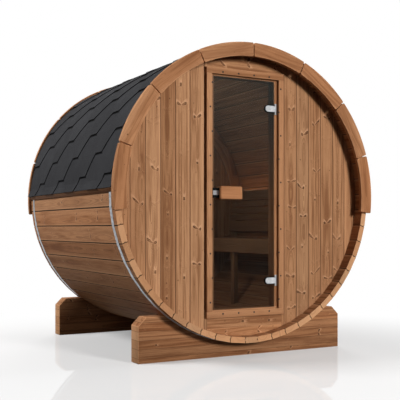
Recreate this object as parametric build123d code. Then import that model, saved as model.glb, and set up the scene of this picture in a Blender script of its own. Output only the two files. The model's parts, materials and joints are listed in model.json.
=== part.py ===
from build123d import *
import os
from math import acos, cos, degrees, hypot, radians, sin, sqrt, tan

# Barrel sauna. The barrel lies along Y with its door end facing -Y, +X is to the
# right of the door and +Z is up. Shapes are drawn about the barrel's own axis and
# lifted to their height over the ground when they are written.

# Barrel shell, in millimetres
stave_length = 1760.0
stave_radius = 1008.0
stave_thickness = 40.0
stave_pairs = 26
closing_stave_angle = 5.7
stave_play = 0.6
stave_outer_ease = 4.0
stave_inner_ease = 3.0
tongue_depth = 8.0
tongue_thickness = 11.0
tongue_play = 0.6
croze_depth = 10.0
croze_play = 0.3

# End walls
front_wall_setback = 85.0
rear_wall_setback = 10.0
wall_thickness = 42.0
board_cover = 108.0
board_play = 0.6
board_ease = 4.0
sill_board_height = 72.0
infill_strip_width = 22.0

# Door frame
frame_width = 623.0
frame_side_gap = 12.5
over_door_height = 120.7
under_door_height = 141.7
frame_setback = 70.0
frame_depth = 96.0
frame_face = 42.0
rebate_depth = 24.0
ledge_width = 26.0

# Glass door
glass_thickness = 8.0
glass_inset = 11.0
glass_latch_gap = 7.5
glass_hinge_reach = 2.5
glass_head_gap = 9.0
glass_sill_gap = 11.0
hinge_top_inset = 196.0
hinge_bottom_inset = 187.0
hinge_axis_offset = 4.5
knuckle_radius = 5.0
pin_radius = 2.5
pin_clearance = 0.3
knuckle_height = 25.0
knuckle_gap = 0.8
knuckle_overlap = 1.0
clamp_length = 76.0
clamp_height = 42.0
clamp_plate = 5.0
clamp_edge_gap = 3.0
web_gap = 0.2
leaf_width = 16.0
leaf_thickness = 4.0

# Door handles and latch
handle_length = 172.0
handle_height = 88.0
handle_thickness = 24.0
handle_ease = 5.0
handle_edge_distance = 128.0
handle_standoff = 14.0
handle_post_size = 18.0
handle_post_spacing = 96.0
latch_length = 58.0
latch_height = 30.0
latch_thickness = 6.0

# Arched trim on the stave ends
trim_overhang = 22.0
trim_width = 94.0
trim_thickness = 28.0
trim_segments = 8
trim_segment_angle = 24.2
trim_gap = 7.0
trim_corner = 7.0

# Roof covering, and the tilting battens that kick out its eaves
roof_thickness = 13.0
roof_end_gap = 1.0
eave_height = 26.0
tilt_batten_top = 78.0
tilt_batten_depth = 20.0
tilt_batten_nose = 6.0
tilt_batten_foot_height = -1.0
tilt_batten_foot_depth = 8.0

# Hoops
hoop_width = 34.0
hoop_thickness = 2.0
hoop_setback = 68.0
hoop_play = 0.5

# Cradles
cradle_end_inset = 200.0
cradle_seat_height = 92.4
cradle_thickness = 112.0
cradle_end_height = 242.0
cradle_chamfer = 56.0
cradle_front_setback = 86.0
cradle_rear_setback = 0.0
cradle_groove_depth = 4.0

# Bench and backrest
bench_depth = 495.6
bench_height = 654.0
bench_end_gap = 6.0
bench_wall_gap = 6.0
apron_height = 110.0
apron_thickness = 28.0
seat_slat_thickness = 28.0
seat_slat_width = 92.0
seat_slat_gap = 10.0
bearer_height = 60.0
bearer_thickness = 42.0
leg_size = 44.0
leg_rear_distance = 701.0
backrest_lift = 61.0
backrest_lean = 5.0
backrest_foot_inset = 144.0
backrest_thickness = 26.0
backrest_board_widths = (92.0, 50.0, 50.0, 50.0, 84.0)
backrest_gap = 9.0
backrest_post_width = 60.0
backrest_post_count = 3

# Arched trim inside on the back wall
inner_arch_gap = 10.0
inner_arch_width = 103.0
inner_arch_thickness = 22.0
inner_arch_end_angle = 97.0

# Places that follow from the sizes above
front_end = -stave_length / 2
rear_end = stave_length / 2
stave_inner = stave_radius - stave_thickness
stave_angle = (360 - closing_stave_angle) / (2 * stave_pairs)
stave_corner_radius = hypot(stave_radius, stave_radius * tan(radians(stave_angle / 2)) - stave_outer_ease)
axis_height = stave_corner_radius + cradle_seat_height
wall_radius = stave_inner + croze_depth - croze_play
wall_front = front_end + front_wall_setback
wall_inside = wall_front + wall_thickness
rear_wall_outside = rear_end - rear_wall_setback
cabin_rear = rear_wall_outside - wall_thickness
trim_outer_radius = stave_radius + trim_overhang
hoop_middles = (front_end + hoop_setback, rear_end - hoop_setback)
frame_front = front_end + frame_setback
frame_back = frame_front + frame_depth
frame_top = wall_radius - over_door_height
frame_bottom = under_door_height - wall_radius
frame_half = frame_width / 2
wall_opening_half = frame_half + frame_side_gap
reveal_half = frame_half - frame_face
opening_half = reveal_half - ledge_width
ledge_plane = frame_front + rebate_depth
glass_front = frame_front + glass_inset
glass_back = glass_front + glass_thickness
glass_left = -reveal_half + glass_latch_gap
glass_right = opening_half - glass_hinge_reach
glass_top = frame_top - frame_face - glass_head_gap
glass_bottom = frame_bottom + frame_face + glass_sill_gap
hinge_x = opening_half + hinge_axis_offset
hinge_y = (glass_front + glass_back) / 2
hinge_heights = (glass_bottom + hinge_bottom_inset, glass_top - hinge_top_inset)
handle_x = glass_left + handle_edge_distance
handle_z = (glass_bottom + glass_top) / 2
bench_top = bench_height - stave_inner
bench_front_x = sqrt(stave_inner ** 2 - bench_top ** 2) - bench_depth
bench_back_x = bench_front_x + bench_depth - bench_wall_gap
bench_start = wall_inside + bench_end_gap
backrest_foot = (stave_inner - backrest_foot_inset, bench_top + backrest_lift)


def along_barrel(sketch, y_from, y_to):
    """Extrude an X-Z sketch along the barrel from one Y to another."""
    return extrude(Plane.XZ.offset(-y_from) * sketch, amount=y_to - y_from, dir=(0, 1, 0))


def box_between(low, high):
    """Box between two opposite corners."""
    size = [b - a for a, b in zip(low, high)]
    middle = [(a + b) / 2 for a, b in zip(low, high)]
    return Pos(*middle) * Box(*size)


def disc(radius, y_from, y_to):
    """Solid cylinder about the barrel's axis."""
    return along_barrel(Circle(radius), y_from, y_to)


def radial_point(radius, angle):
    """X-Z point at an angle from the top, positive towards +X."""
    return radius * sin(radians(angle)), radius * cos(radians(angle))


def flat_corner(apothem, number):
    """Corner over a stave joint, counted from the top, of a layer on the staves' flats."""
    return radial_point(apothem / cos(radians(stave_angle / 2)), stave_angle * number)


def layer_prism(apothem, y_from, y_to):
    """Solid barrel whose flats lie an apothem from the axis, with a corner over each stave joint."""
    right = [flat_corner(apothem, number) for number in range(stave_pairs + 1)]
    left = [(-x, z) for x, z in reversed(right[1:])]
    return along_barrel(Polygon(*(right + left), align=None), y_from, y_to)


def arc_band(inner, outer, start, end):
    """X-Z sketch of a flat ring sector between two angles from the top."""
    middle = (start + end) / 2
    outline = Curve() + [
        ThreePointArc(radial_point(outer, start), radial_point(outer, middle), radial_point(outer, end)),
        Line(radial_point(outer, end), radial_point(inner, end)),
        ThreePointArc(radial_point(inner, end), radial_point(inner, middle), radial_point(inner, start)),
        Line(radial_point(inner, start), radial_point(outer, start)),
    ]
    return make_face(outline)


def joint_edge(half_angle, out_face, in_face, tongue):
    """Points of a radial stave joint from its outer to its inner face, with both corners eased.

    A positive tongue stands out of the joint and a negative one is a groove.
    """
    mid = (out_face + in_face) / 2
    half = tongue_thickness / 2 + (tongue_play if tongue < 0 else 0)
    reach = tongue_depth if tongue > 0 else -(tongue_depth + tongue_play)
    h = radians(half_angle)
    back = -stave_play / 2

    def at(along, out):
        return along * sin(h) + (back + out) * cos(h), along * cos(h) - (back + out) * sin(h)

    def at_face(face):
        return (face + back * sin(h)) / cos(h)

    corner_out = at(at_face(out_face), 0)
    corner_in = at(at_face(in_face), 0)
    return [
        (corner_out[0] - stave_outer_ease, out_face),
        at(at_face(out_face) - stave_outer_ease, 0),
        at(mid + half, 0),
        at(mid + half, reach),
        at(mid - half, reach),
        at(mid - half, 0),
        at(at_face(in_face) + stave_inner_ease, 0),
        (corner_in[0] - stave_inner_ease, in_face),
    ]


def make_stave(angle):
    """Tongued and grooved stave at the top of the barrel, with a croze for each end wall.

    The corners of all staves lie on one circle, so a narrower stave has its face a little further out.
    """
    out_face = stave_radius * cos(radians(angle / 2)) / cos(radians(stave_angle / 2))
    in_face = out_face - stave_thickness
    right = joint_edge(angle / 2, out_face, in_face, 1)
    left = joint_edge(angle / 2, out_face, in_face, -1)
    outline = right + [(-x, z) for x, z in reversed(left)]
    stave = along_barrel(Polygon(*outline, align=None), front_end, rear_end)
    reach = stave_radius * tan(radians(angle))
    for start in (wall_front, cabin_rear):
        stave -= box_between((-reach, start - croze_play, in_face - croze_depth),
                             (reach, start + wall_thickness + croze_play, in_face + croze_depth))
    return stave


def stave_angles(first, last, side):
    """Angles from the top of the staves numbered from the closing stave upwards."""
    step = closing_stave_angle / 2 - stave_angle / 2
    return [side * (180 - step - stave_angle * number) for number in range(first, last + 1)]


def turned(shape, angle):
    """Shape turned about the barrel's axis by an angle from the top towards +X."""
    return Rot(0, angle, 0) * shape


def stave_groups():
    """Staves of the shell, in named groups of five to seven."""
    stave = make_stave(stave_angle)
    closing = make_stave(closing_stave_angle)
    third = stave_pairs // 4
    bounds = {
        "lower": (4, 3 + third),
        "side": (4 + third, 3 + 2 * third),
        "upper": (4 + 2 * third, 3 + 3 * third),
        "top": (4 + 3 * third, stave_pairs),
    }
    groups = {"staves_bottom": [turned(closing, 180)]}
    for side in (-1, 1):
        groups["staves_bottom"] += [turned(stave, angle) for angle in stave_angles(1, 3, side)]
        for name, (first, last) in bounds.items():
            key = f"staves_{name}_{'left' if side < 0 else 'right'}"
            groups[key] = [turned(stave, angle) for angle in stave_angles(first, last, side)]
    return groups


def board_section(width, depth, tongue_left, tongue_right):
    """Plan section of a wall board: X along its width, Y from its outside face."""
    half = width / 2 - board_play / 2
    mid = depth / 2

    def edge(tongue):
        thick = tongue_thickness / 2 + (tongue_play if tongue < 0 else 0)
        reach = {1: tongue_depth, -1: -(tongue_depth + tongue_play), 0: 0}[tongue]
        points = [(half - board_ease, 0), (half, board_ease)]
        if tongue:
            points += [(half, mid - thick), (half + reach, mid - thick)]
            points += [(half + reach, mid + thick), (half, mid + thick)]
        return points + [(half, depth)]

    right = edge(tongue_right)
    left = [(-x, y) for x, y in reversed(edge(tongue_left))]
    return Polygon(*(right + left), align=None)


def wall_boards(edges, y_outside, inward):
    """Vertical boards between the given X edges, their ends cut to seat on the croze floors."""
    y_inside = y_outside + inward * wall_thickness
    rim = layer_prism(wall_radius, min(y_outside, y_inside), max(y_outside, y_inside))
    boards = []
    last = len(edges) - 2
    for number, (low, high) in enumerate(zip(edges, edges[1:])):
        section = board_section(high - low, wall_thickness, 0 if number == 0 else -1,
                                0 if number == last else 1)
        if inward < 0:
            section = mirror(section, about=Plane.XZ)
        board = extrude(Pos((low + high) / 2, y_outside, -wall_radius) * section, amount=2 * wall_radius)
        boards.append(board & rim)
    return boards


def board_edges(start):
    """X of the board joints from a first one out to the rim of the wall."""
    count = int((wall_radius - start) // board_cover)
    return [start + board_cover * number for number in range(count)] + [wall_radius]


def front_wall():
    """Front wall: boards beside the door, and boards over and under its frame."""
    edges = board_edges(wall_opening_half)
    right = wall_boards(edges, wall_front, 1)
    left = wall_boards([-x for x in reversed(edges)], wall_front, 1)
    rim = layer_prism(wall_radius, wall_front, wall_inside)
    strip_inner = wall_opening_half - infill_strip_width
    strip_outer = wall_opening_half - board_play
    over, under = [], []
    for parts, low, high in ((over, frame_top, wall_radius), (under, -wall_radius, frame_bottom)):
        for x_low, x_high in ((strip_inner, strip_outer), (-strip_outer, -strip_inner)):
            parts.append(box_between((x_low, wall_front, low), (x_high, wall_inside, high)) & rim)
    width = strip_inner - board_play
    over.append(box_between((-width, wall_front, frame_top), (width, wall_inside, wall_radius)) & rim)
    joint = frame_bottom - sill_board_height
    for low, high in ((joint + board_play, frame_bottom), (-wall_radius, joint)):
        under.append(box_between((-width, wall_front, low), (width, wall_inside, high)) & rim)
    return {"front_wall_left": left, "front_wall_right": right,
            "front_wall_over_door": over, "front_wall_under_door": under}


def rear_wall():
    """Rear wall of full-height boards, in a left and a right half."""
    edges = board_edges(0)
    right = wall_boards(edges, rear_wall_outside, -1)
    left = wall_boards([-x for x in reversed(edges)], rear_wall_outside, -1)
    return {"rear_wall_left": left, "rear_wall_right": right}


def arched_trim():
    """Arched trim segments over the stave ends, front and rear."""
    half = trim_segments // 2
    half_angle = (trim_segment_angle - degrees(trim_gap / trim_outer_radius)) / 2
    segment = arc_band(trim_outer_radius - trim_width, trim_outer_radius, -half_angle, half_angle)
    segment = chamfer(segment.vertices(), trim_corner)
    front = along_barrel(segment, front_end - trim_thickness, front_end)
    rear = along_barrel(segment, rear_end, rear_end + trim_thickness)
    turns = [(number + 0.5) * trim_segment_angle for number in range(-half, half)]
    return {"front_trim": [turned(front, angle) for angle in turns],
            "rear_trim": [turned(rear, angle) for angle in turns]}


def hoops():
    """Flat steel straps drawn tight over the staves' flats near each end."""
    parts = {}
    for name, middle in zip(("front_hoop", "rear_hoop"), hoop_middles):
        start, end = middle - hoop_width / 2, middle + hoop_width / 2
        barrel = layer_prism(stave_radius, start, end)
        parts[name] = [layer_prism(stave_radius + hoop_thickness, start, end) - barrel]
    return parts


def hoop_rooms():
    """Room for both hoops in whatever lies over them."""
    half = hoop_width / 2 + hoop_play
    apothem = stave_radius + hoop_thickness + hoop_play
    return [layer_prism(apothem, middle - half, middle + half) for middle in hoop_middles]


def roof():
    """Roof covering laid on the staves' flats, and the tilting battens that kick out its eaves."""
    outside = stave_radius + roof_thickness
    last = int(degrees(acos(tilt_batten_top / stave_radius)) // stave_angle)
    middle = (last + 1) // 2
    flat = radial_point(1, stave_angle * (last + 0.5))
    top = ((stave_radius - tilt_batten_top * flat[1]) / flat[0], tilt_batten_top)
    eave = (stave_radius + tilt_batten_depth, eave_height)
    fall = hypot(eave[0] - top[0], top[1] - eave[1])
    slope = ((top[1] - eave[1]) / fall, (eave[0] - top[0]) / fall)
    mitre = roof_thickness / (1 + flat[0] * slope[0] + flat[1] * slope[1])
    kick = (top[0] + mitre * (flat[0] + slope[0]), top[1] + mitre * (flat[1] + slope[1]))
    lip = (eave[0] + roof_thickness * slope[0], eave[1] + roof_thickness * slope[1])
    under = [flat_corner(stave_radius, number) for number in range(last + 1)]
    over = [flat_corner(outside, number) for number in range(last + 1)]
    outlines = {
        "roof_upper": under[:middle + 1] + over[middle::-1],
        "roof_lower": under[middle:] + [top, eave, lip, kick] + over[:middle - 1:-1],
        "roof_edge_battens": [
            (stave_radius - tilt_batten_depth, tilt_batten_top), top, eave,
            (eave[0], eave_height - tilt_batten_nose),
            (stave_radius + tilt_batten_foot_depth, tilt_batten_foot_height),
            (stave_radius - tilt_batten_depth, tilt_batten_foot_height),
        ],
    }
    start, end = front_end + roof_end_gap, rear_end - roof_end_gap
    parts = {"roof_edge_battens": []}
    for name, points in outlines.items():
        right = along_barrel(Polygon(*points, align=None), start, end)
        if name == "roof_edge_battens":
            right -= layer_prism(stave_radius, start, end)
        for room in hoop_rooms():
            right -= room
        left = mirror(right, about=Plane.YZ)
        if name == "roof_edge_battens":
            parts[name] = [left, right]
        else:
            parts[f"{name}_left"] = [left]
            parts[f"{name}_right"] = [right]
    return parts


def cradles():
    """Timber cradles cut to the barrel, the rear one grooved for its hoop."""
    half = stave_radius - cradle_end_inset
    ground = -axis_height
    shoulder = ground + cradle_end_height
    top = shoulder + cradle_chamfer
    outline = Polygon((-half, ground), (half, ground), (half, shoulder), (half - cradle_chamfer, top),
                      (-half + cradle_chamfer, top), (-half, shoulder), align=None)
    front_start = front_end + cradle_front_setback
    rear_stop = rear_end - cradle_rear_setback
    groove_middle = hoop_middles[1]
    groove_half = hoop_width / 2 + hoop_play
    parts = {}
    for name, start, stop in (("front_cradle", front_start, front_start + cradle_thickness),
                              ("rear_cradle", rear_stop - cradle_thickness, rear_stop)):
        parts[name] = along_barrel(outline, start, stop) - disc(stave_corner_radius, start, stop)
    parts["rear_cradle"] -= disc(stave_corner_radius + cradle_groove_depth,
                                 groove_middle - groove_half, groove_middle + groove_half)
    return {name: [cradle] for name, cradle in parts.items()}


def door_frame():
    """Rebated jambs between a head and a sill that run the full width."""
    head_low = frame_top - frame_face
    sill_high = frame_bottom + frame_face
    head_ledge = head_low - ledge_width / 2
    sill_ledge = sill_high + ledge_width / 2

    def post(x_front, x_ledge, x_outside, front_z, ledge_z):
        front = box_between((x_front, frame_front, front_z[0]), (x_outside, ledge_plane, front_z[1]))
        return front + box_between((x_ledge, ledge_plane, ledge_z[0]), (x_outside, frame_back, ledge_z[1]))

    head = post(-frame_half, -frame_half, frame_half, (head_low, frame_top), (head_ledge, frame_top))
    sill = post(-frame_half, -frame_half, frame_half, (frame_bottom, sill_high), (frame_bottom, sill_ledge))
    right = post(reveal_half, opening_half, frame_half, (sill_high, head_low), (sill_ledge, head_ledge))
    return {"door_frame_head": [head], "door_frame_sill": [sill],
            "door_frame_right_jamb": [right], "door_frame_left_jamb": [mirror(right, about=Plane.YZ)]}


def hinge_clamp(height):
    """Two rounded plates that grip the glass, with the moving knuckle of the hinge."""
    right = glass_right - clamp_edge_gap
    left = right - clamp_length
    radius = clamp_height / 2
    outline = Pos((left + radius + right) / 2, height) * Rectangle(right - left - radius, clamp_height)
    outline += Pos(left + radius, height) * Circle(radius)
    outer = along_barrel(outline, glass_front - clamp_plate, glass_front)
    inner = along_barrel(outline, glass_back, glass_back + clamp_plate)
    low, high = height - knuckle_height / 2, height + knuckle_height / 2
    moving = Pos(hinge_x, hinge_y, height) * Cylinder(knuckle_radius, knuckle_height)
    moving += box_between((glass_right + web_gap, glass_front - clamp_plate, low), (hinge_x, hinge_y, high))
    moving += box_between((right, glass_front - clamp_plate, low), (hinge_x, glass_front, high))
    moving -= Pos(hinge_x, hinge_y, height) * Cylinder(pin_radius + pin_clearance, 2 * knuckle_height)
    return [outer + moving, inner]


def hinge_leaf(height):
    """Hinge leaf on the frame's ledge, with two fixed knuckles and the pin."""
    total = 3 * knuckle_height + 2 * knuckle_gap
    leaf_left = hinge_x + knuckle_radius - knuckle_overlap
    leaf = box_between((leaf_left, ledge_plane - leaf_thickness, height - total / 2),
                       (leaf_left + leaf_width, ledge_plane, height + total / 2))
    for side in (-1, 1):
        middle = height + side * (knuckle_height + knuckle_gap)
        leaf += Pos(hinge_x, hinge_y, middle) * Cylinder(knuckle_radius, knuckle_height)
        leaf += box_between((hinge_x, hinge_y, middle - knuckle_height / 2),
                            (leaf_left + leaf_thickness, ledge_plane, middle + knuckle_height / 2))
    leaf += Pos(hinge_x, hinge_y, height) * Cylinder(pin_radius, total)
    return leaf


def handle(face_y, away):
    """Eased wooden grip block on two short posts that stand on a face of the glass."""
    post_end = face_y + away * handle_standoff
    block_middle = post_end + away * handle_thickness / 2
    block = Pos(handle_x, block_middle, handle_z) * Box(handle_length, handle_thickness, handle_height)
    block = chamfer(block.edges(), handle_ease)
    square = Rectangle(handle_post_size, handle_post_size)
    for side in (-1, 1):
        post = Pos(handle_x + side * handle_post_spacing / 2, handle_z) * square
        block += along_barrel(post, min(face_y, block_middle), max(face_y, block_middle))
    return block


def door():
    """Glass leaf with its hinges, its two handles and the latch plate."""
    leaf = box_between((glass_left, glass_front, glass_bottom), (glass_right, glass_back, glass_top))
    latch = box_between((glass_left, glass_front - latch_thickness, handle_z - latch_height / 2),
                        (glass_left + latch_length, glass_front, handle_z + latch_height / 2))
    return {"door_glass": [leaf],
            "hinge_clamps": [plate for height in hinge_heights for plate in hinge_clamp(height)],
            "hinge_leaves": [hinge_leaf(height) for height in hinge_heights],
            "door_outer_handle": [handle(glass_front, -1)],
            "door_inner_handle": [handle(glass_back, 1)],
            "door_latch_plate": [latch]}


def bench():
    """Bench along the right side: slats on bearers, an apron and one leg."""
    end = cabin_rear - bench_end_gap
    under_slats = bench_top - seat_slat_thickness
    apron_back = bench_front_x + apron_thickness
    apron = box_between((bench_front_x, bench_start, bench_top - apron_height), (apron_back, end, bench_top))
    slats = []
    x = apron_back + seat_slat_gap
    while x + seat_slat_width < bench_back_x:
        slats.append(box_between((x, bench_start, under_slats), (x + seat_slat_width, end, bench_top)))
        x += seat_slat_width + seat_slat_gap
    inside = disc(stave_inner, bench_start, end)
    leg_front = cabin_rear - leg_rear_distance - leg_size / 2
    leg = box_between((apron_back, leg_front, -stave_inner),
                      (apron_back + leg_size, leg_front + leg_size, under_slats))
    bearers = []
    for low in (bench_start, leg_front - bearer_thickness, end - bearer_thickness):
        bearer = box_between((apron_back, low, under_slats - bearer_height),
                             (stave_inner, low + bearer_thickness, under_slats))
        bearers.append(bearer & inside)
    return {"bench_apron": [apron], "bench_slats": slats,
            "bench_bearers": bearers, "bench_leg": [leg & inside]}


def backrest():
    """Leaning slatted backrest on posts that reach the staves."""
    end = cabin_rear - inner_arch_thickness - bench_end_gap
    boards = []
    level = 0.0
    for width in backrest_board_widths:
        boards.append(box_between((0, bench_start, level), (backrest_thickness, end, level + width)))
        level += width + backrest_gap
    height = level - backrest_gap
    inside = disc(stave_inner, bench_start, end)
    spacing = (end - bench_start - backrest_post_width) / (backrest_post_count - 1)
    lean = Pos(backrest_foot[0], 0, backrest_foot[1]) * Rot(0, backrest_lean, 0)
    reach = stave_inner - backrest_foot[0] + height
    posts = []
    for number in range(backrest_post_count):
        low = bench_start + spacing * number
        post = box_between((backrest_thickness, low, 0), (reach, low + backrest_post_width, height))
        posts.append((lean * post) & inside)
    return {"backrest_slats": [lean * board for board in boards], "backrest_posts": posts}


def inner_arch():
    """Arched trim inside, against the rear wall."""
    outer = stave_inner - inner_arch_gap
    band = arc_band(outer - inner_arch_width, outer, -inner_arch_end_angle, inner_arch_end_angle)
    return {"rear_wall_inner_arch": [along_barrel(band, cabin_rear - inner_arch_thickness, cabin_rear)]}


def write_parts(parts):
    """Write each named group as one file, lifted to its height over the ground."""
    os.makedirs("parts", exist_ok=True)
    for name, shapes in parts.items():
        lifted = [Pos(0, 0, axis_height) * shape for shape in shapes]
        solids = [solid for shape in lifted for solid in shape.solids()]
        export_step(solids[0] if len(solids) == 1 else Compound(children=solids), f"parts/{name}.step")


model = {}
for group in (stave_groups(), front_wall(), rear_wall(), arched_trim(), hoops(), roof(), cradles(),
              door_frame(), door(), bench(), backrest(), inner_arch()):
    model.update(group)
write_parts(model)
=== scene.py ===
"""Looks of a barrel sauna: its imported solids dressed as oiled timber, shingles, tinted glass and steel."""

import json
import logging
import math
import random
from collections import Counter
from collections.abc import Callable
from dataclasses import dataclass
from enum import Enum
from functools import cache

import bmesh
import bpy
import numpy as np
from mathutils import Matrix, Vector


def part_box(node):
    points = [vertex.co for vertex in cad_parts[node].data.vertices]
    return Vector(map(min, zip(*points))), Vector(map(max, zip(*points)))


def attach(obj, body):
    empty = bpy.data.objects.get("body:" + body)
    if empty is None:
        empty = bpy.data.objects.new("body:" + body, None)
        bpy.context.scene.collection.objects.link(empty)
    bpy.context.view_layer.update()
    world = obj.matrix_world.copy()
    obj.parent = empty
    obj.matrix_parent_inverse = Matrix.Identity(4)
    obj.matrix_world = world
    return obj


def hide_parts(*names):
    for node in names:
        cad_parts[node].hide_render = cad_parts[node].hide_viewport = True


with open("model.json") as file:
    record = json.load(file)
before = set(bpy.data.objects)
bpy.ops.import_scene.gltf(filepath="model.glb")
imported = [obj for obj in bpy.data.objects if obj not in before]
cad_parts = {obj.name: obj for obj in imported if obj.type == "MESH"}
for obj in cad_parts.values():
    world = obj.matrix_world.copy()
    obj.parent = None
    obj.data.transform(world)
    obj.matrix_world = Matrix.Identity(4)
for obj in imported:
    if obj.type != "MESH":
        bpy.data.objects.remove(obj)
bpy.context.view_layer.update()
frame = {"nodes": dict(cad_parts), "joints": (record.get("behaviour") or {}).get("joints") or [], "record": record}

log = logging.getLogger("barrel sauna")

Colour = tuple[float, float, float, float]
Point = tuple[float, float, float]
Spot = tuple[float, float]

WHITE: Colour = (1.0, 1.0, 1.0, 1.0)
AXIS_HEIGHT = frame["joints"][0]["pos_m"][2]


def body_of(node: str) -> str:
    """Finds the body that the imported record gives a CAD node."""
    bodies = frame["record"]["behaviour"]["bodies"]
    return next(body for body, members in bodies.items() if node in members)


def slot_of(node: str) -> str:
    """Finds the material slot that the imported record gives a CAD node."""
    return next(part["material_slot"] for part in frame["record"]["subparts"] if part["node"] == node)


def settle(piece: bpy.types.Object, body: str, slot: str, *nodes: str) -> None:
    """Gives a finished piece its body, and hides the CAD nodes that it stands for.

    Args:
        piece: The piece.
        body: The body that it rides on.
        slot: Its material slot, which is not used.
        nodes: The CAD nodes that it replaces, if any.
    """
    if nodes:
        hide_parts(*nodes)
    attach(piece, body)
    log.info("%s: %d faces", piece.name, len(piece.data.polygons))


def linked(name: str, data: bpy.types.ID) -> bpy.types.Object:
    """Puts a mesh, a camera or a light in the scene.

    Args:
        name: Name of the object.
        data: The mesh, camera or light.

    Returns:
        The object.
    """
    made = bpy.data.objects.new(name, data)
    bpy.context.scene.collection.objects.link(made)
    return made


def meshed(name: str, shape: bmesh.types.BMesh) -> bpy.types.Mesh:
    """Ends a bmesh as a mesh and frees it.

    Args:
        name: Name of the mesh.
        shape: The bmesh.

    Returns:
        The mesh.
    """
    mesh = bpy.data.meshes.new(name)
    shape.to_mesh(mesh)
    shape.free()
    return mesh


def prisms(name: str, blocks: list[tuple[list[Spot], list[float]]],
           material: bpy.types.Material) -> bpy.types.Object:
    """Makes a piece of closed blocks, each with one outline all along Y.

    Args:
        name: Name of the piece.
        blocks: Each block's corners across and up, anticlockwise from the front, and its places along Y.
        material: Its material.

    Returns:
        The piece.
    """
    corners: list[Point] = []
    faces: list[tuple[int, ...]] = []
    for outline, places in blocks:
        first, count = len(corners), len(outline)
        corners += [(x, y, z) for y in places for x, z in outline]
        last = len(corners) - 1
        faces += [tuple(range(first, first + count)), tuple(range(last, last - count, -1))]
        for start in range(first, first + count * (len(places) - 1), count):
            for number in range(count):
                here, following = start + number, start + (number + 1) % count
                faces.append((here, here + count, following + count, following))
    mesh = bpy.data.meshes.new(name)
    mesh.from_pydata(corners, [], faces)
    mesh.materials.append(material)
    return linked(name, mesh)


def operator(operation: str, reflected: bool = False) -> Callable[["Wire", "Term"], "Wire"]:
    """Makes the method of a wire for one arithmetic sign.

    Args:
        operation: The Math node's operation.
        reflected: Whether the wire stands on the right of the sign.

    Returns:
        The method.
    """
    def method(self: "Wire", other: "Term") -> "Wire":
        """Adds the Math node on the wire and the other term."""
        terms = (other, self) if reflected else (self, other)
        return self.sheet.math(operation, *terms)

    return method


class Wire:
    """Output socket of a node, which adds Math nodes when it is used in an expression."""

    def __init__(self, sheet: "Sheet", socket: bpy.types.NodeSocket) -> None:
        """Keeps the sheet that the socket is drawn on, and the socket."""
        self.sheet = sheet
        self.socket = socket

    def math(self, operation: str, *others: "Term") -> "Wire":
        """Adds a Math node on this wire and the others."""
        return self.sheet.math(operation, self, *others)

    __add__ = operator("ADD")
    __radd__ = operator("ADD", reflected=True)
    __sub__ = operator("SUBTRACT")
    __rsub__ = operator("SUBTRACT", reflected=True)
    __mul__ = operator("MULTIPLY")
    __rmul__ = operator("MULTIPLY", reflected=True)
    __truediv__ = operator("DIVIDE")
    __pow__ = operator("POWER")


Term = Wire | float


class Sheet:
    """Node tree that is drawn by expressions and one method for every other node."""

    def __init__(self, tree: bpy.types.NodeTree) -> None:
        """Keeps the tree and clears it."""
        self.tree = tree
        self.tree.nodes.clear()

    def node(self, kind: str, settings: dict | None = None, inputs: dict | None = None) -> bpy.types.Node:
        """Adds a node, first with its settings and then with its inputs.

        Args:
            kind: The node's type.
            settings: Properties of the node, such as a Math node's operation.
            inputs: Values or wires for its sockets, by name or number.

        Returns:
            The node.
        """
        made = self.tree.nodes.new(kind)
        for name, setting in (settings or {}).items():
            setattr(made, name, setting)
        for key, value in (inputs or {}).items():
            if isinstance(value, Wire):
                self.tree.links.new(value.socket, made.inputs[key])
            else:
                made.inputs[key].default_value = value
        return made

    def wire(self, kind: str, output: str | int, settings: dict | None = None,
             inputs: dict | None = None) -> Wire:
        """Adds a node and takes its output of that name or number."""
        return Wire(self, self.node(kind, settings, inputs).outputs[output])

    def math(self, operation: str, *terms: Term) -> Wire:
        """Adds a Math node on the terms in their order."""
        return self.wire("ShaderNodeMath", 0, {"operation": operation}, dict(enumerate(terms)))

    def join(self, x: Term, y: Term, z: Term) -> Wire:
        """Puts three numbers together as a vector."""
        return self.wire("ShaderNodeCombineXYZ", 0, inputs={0: x, 1: y, 2: z})

    def split(self, vector: Wire) -> tuple[Wire, Wire, Wire]:
        """Takes a vector or a colour apart."""
        parts = self.node("ShaderNodeSeparateXYZ", inputs={0: vector})
        return tuple(Wire(self, output) for output in parts.outputs)

    def scaled(self, vector: Wire, scale: float) -> Wire:
        """Multiplies a vector by a number."""
        return self.wire("ShaderNodeVectorMath", 0, {"operation": "SCALE"}, {0: vector, "Scale": scale})

    def ease(self, value: Wire, low: Term, high: Term) -> Wire:
        """Runs smoothly from 0 at low to 1 at high, where high may be the smaller of the two."""
        settings = {"interpolation_type": "SMOOTHSTEP"}
        return self.wire("ShaderNodeMapRange", 0, settings, {0: value, 1: low, 2: high})

    def mix(self, factor: Term, first: Wire | Colour, second: Wire | Colour, blend: str = "MIX") -> Wire:
        """Mixes two colours, where the factor is the share of the second."""
        settings = {"data_type": "RGBA", "blend_type": blend}
        return self.wire("ShaderNodeMix", 2, settings, {0: factor, 6: first, 7: second})

    def blend(self, factor: Term, first: Wire, second: Wire) -> Wire:
        """Mixes two shaders, where the factor is the share of the second."""
        return self.wire("ShaderNodeMixShader", 0, inputs={0: factor, 1: first, 2: second})

    def noise(self, vector: Wire, detail: float = 2.0, roughness: float = 0.5) -> Wire:
        """Soft noise from 0 to 1 at a place, with that many octaves and that strength of the finer ones."""
        inputs = {"Vector": vector, "Scale": 1.0, "Detail": detail, "Roughness": roughness}
        return self.wire("ShaderNodeTexNoise", 0, inputs=inputs)

    def chance(self, vector: Wire) -> tuple[Wire, Wire, Wire]:
        """Three random numbers from 0 to 1 for each place."""
        return self.split(self.wire("ShaderNodeTexWhiteNoise", "Color", inputs={"Vector": vector}))


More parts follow.
